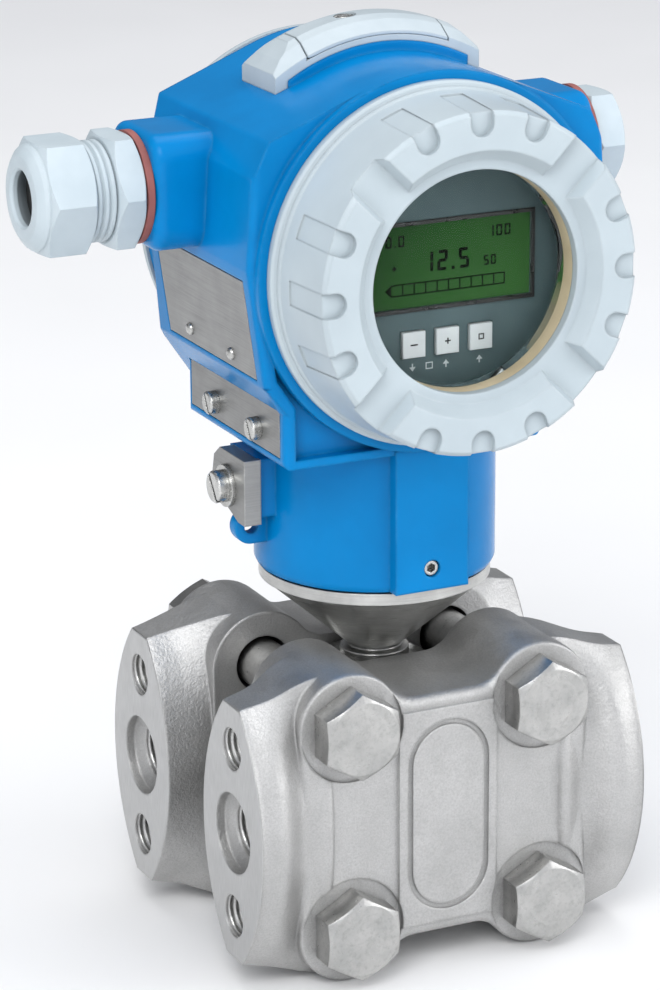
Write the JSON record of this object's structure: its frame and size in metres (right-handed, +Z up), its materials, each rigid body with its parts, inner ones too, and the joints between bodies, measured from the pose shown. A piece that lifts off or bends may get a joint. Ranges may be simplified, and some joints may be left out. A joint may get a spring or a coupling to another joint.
{
  "type": "differential pressure transmitter",
  "caption": "Field differential pressure transmitter: bolted process flanges, turned neck and rotatable housing with screwed window cover, graphic display, cable gland and key guard.",
  "frame": {"origin": "centre of the left-hand manifold face, midway between its two process ports and its four mounting threads", "axes": "-X points out of the left-hand manifold face, -Y is the display side, +Z is up along the neck"},
  "size_m": [0.1479, 0.1043, 0.2185],
  "materials": {
    "cast_steel": "bead-blasted stainless casting, clean machined end faces",
    "bolt_steel": "cold-formed stainless steel, slightly scuffed",
    "plug_steel": "machined stainless steel",
    "turned_steel": "turned stainless steel",
    "foil_steel": "thin polished stainless foil",
    "white_gasket": "white filled fluoropolymer",
    "black_rubber": "black nitrile",
    "header_glass": "metal header with glass-sealed pins",
    "housing_coat": "light blue powder coat over die-cast aluminium",
    "screw_steel": "plated steel screw",
    "cover_coat": "pale grey powder coat over die-cast aluminium",
    "glass": "clear toughened glass",
    "cement": "cream sealing cement",
    "display_plastic": "dark blue-grey moulded plastic",
    "display_panel": "green reflective liquid-crystal panel",
    "potting": "black potted plastic cup",
    "terminal_plastic": "green moulded terminal block",
    "guard_plastic": "pale grey moulded plastic",
    "sheet_steel": "grained stainless sheet",
    "red_seal": "orange-red fibre ring",
    "grey_plastic": "pale grey moulded polyamide",
    "key_plastic": "white moulded keys"
  },
  "bodies": {
    "sensor": {"flange_rear": "cast_steel", "flange_front": "cast_steel", "flange_bolts": "bolt_steel", "flange_nuts": "bolt_steel", "vent_plugs": "plug_steel", "measuring_cell": "turned_steel", "isolating_diaphragms": "foil_steel", "cell_gaskets": "white_gasket", "neck_adapter": "turned_steel", "neck_oring": "black_rubber", "sensor_header": "header_glass"},
    "housing": {"housing": "housing_coat", "lock_screw": "screw_steel", "display_body": "display_plastic", "display_lcd": "display_panel", "electronics_module": "potting", "terminal_block": "terminal_plastic", "terminal_screws": "screw_steel", "feedthrough": "header_glass", "key_guard_base": "guard_plastic", "name_plate": "sheet_steel", "name_plate_rivets": "screw_steel", "tag_plate": "sheet_steel", "tag_plate_screws": "screw_steel", "ground_clamp": "sheet_steel", "ground_washer": "screw_steel", "ground_screw": "screw_steel", "entry_seals": "red_seal", "gland_body": "grey_plastic", "blind_plug": "grey_plastic"},
    "front_cover_seal": {"front_cover_oring": "black_rubber"},
    "front_cover": {"front_cover": "cover_coat", "window_glass": "glass", "window_ring": "cement"},
    "rear_cover_seal": {"rear_cover_oring": "black_rubber"},
    "rear_cover": {"rear_cover": "cover_coat"},
    "gland_insert": {"gland_insert": "black_rubber"},
    "gland_nut": {"gland_nut": "grey_plastic"},
    "key_guard_flap": {"key_guard_flap": "guard_plastic", "key_guard_screw": "screw_steel"},
    "display_key_1": {"display_key_1": "key_plastic"},
    "service_key_1": {"service_key_1": "key_plastic"},
    "display_key_2": {"display_key_2": "key_plastic"},
    "service_key_2": {"service_key_2": "key_plastic"},
    "display_key_3": {"display_key_3": "key_plastic"},
    "service_key_3": {"service_key_3": "key_plastic"}
  },
  "joints": [
    {"name": "housing_turn", "type": "hinge", "parent": "sensor", "child": "housing", "pos_m": [0.0495, 0, 0.06], "axis": [0, 0, 1], "range_deg": [-190, 190]},
    {"name": "front_cover_slide", "type": "slide", "parent": "housing", "child": "front_cover_seal", "axis": [0, -1, 0], "range_m": [0, 0.01]},
    {"name": "front_cover_turn", "type": "hinge", "parent": "front_cover_seal", "child": "front_cover", "pos_m": [0.0495, -0.0316, 0.1297], "axis": [0, -1, 0], "range_deg": [0, 1802]},
    {"name": "rear_cover_slide", "type": "slide", "parent": "housing", "child": "rear_cover_seal", "axis": [0, 1, 0], "range_m": [0, 0.01]},
    {"name": "rear_cover_turn", "type": "hinge", "parent": "rear_cover_seal", "child": "rear_cover", "pos_m": [0.0495, 0.0356, 0.1297], "axis": [0, 1, 0], "range_deg": [0, 1802]},
    {"name": "gland_insert_slide", "type": "slide", "parent": "housing", "child": "gland_insert", "axis": [-1, 0, 0], "range_m": [0, 0.003]},
    {"name": "gland_nut_turn", "type": "hinge", "parent": "gland_insert", "child": "gland_nut", "pos_m": [-0.0255, 0.008, 0.145], "axis": [-1, 0, 0], "range_deg": [0, 722]},
    {"name": "key_guard_hinge", "type": "hinge", "parent": "housing", "child": "key_guard_flap", "pos_m": [0.0304, 0.003, 0.1767], "axis": [0, -1, 0], "range_deg": [0, 100]},
    {"name": "display_key_1_press", "type": "slide", "parent": "housing", "child": "display_key_1", "axis": [0, 1, 0], "range_m": [0, 0.0008], "stiffness_N_per_m": 600, "springref_m": -0.001},
    {"name": "service_key_1_press", "type": "slide", "parent": "housing", "child": "service_key_1", "axis": [0, 0, -1], "range_m": [0, 0.001], "stiffness_N_per_m": 800, "springref_m": -0.001},
    {"name": "display_key_2_press", "type": "slide", "parent": "housing", "child": "display_key_2", "axis": [0, 1, 0], "range_m": [0, 0.0008], "stiffness_N_per_m": 600, "springref_m": -0.001},
    {"name": "service_key_2_press", "type": "slide", "parent": "housing", "child": "service_key_2", "axis": [0, 0, -1], "range_m": [0, 0.001], "stiffness_N_per_m": 800, "springref_m": -0.001},
    {"name": "display_key_3_press", "type": "slide", "parent": "housing", "child": "display_key_3", "axis": [0, 1, 0], "range_m": [0, 0.0008], "stiffness_N_per_m": 600, "springref_m": -0.001},
    {"name": "service_key_3_press", "type": "slide", "parent": "housing", "child": "service_key_3", "axis": [0, 0, -1], "range_m": [0, 0.001], "stiffness_N_per_m": 800, "springref_m": -0.001}
  ],
  "couplings": [
    {"joint": "front_cover_turn", "follows": "front_cover_slide", "rad_per_m": 3141.6},
    {"joint": "rear_cover_turn", "follows": "rear_cover_slide", "rad_per_m": 3141.6},
    {"joint": "gland_nut_turn", "follows": "gland_insert_slide", "rad_per_m": 4188.8}
  ]
}
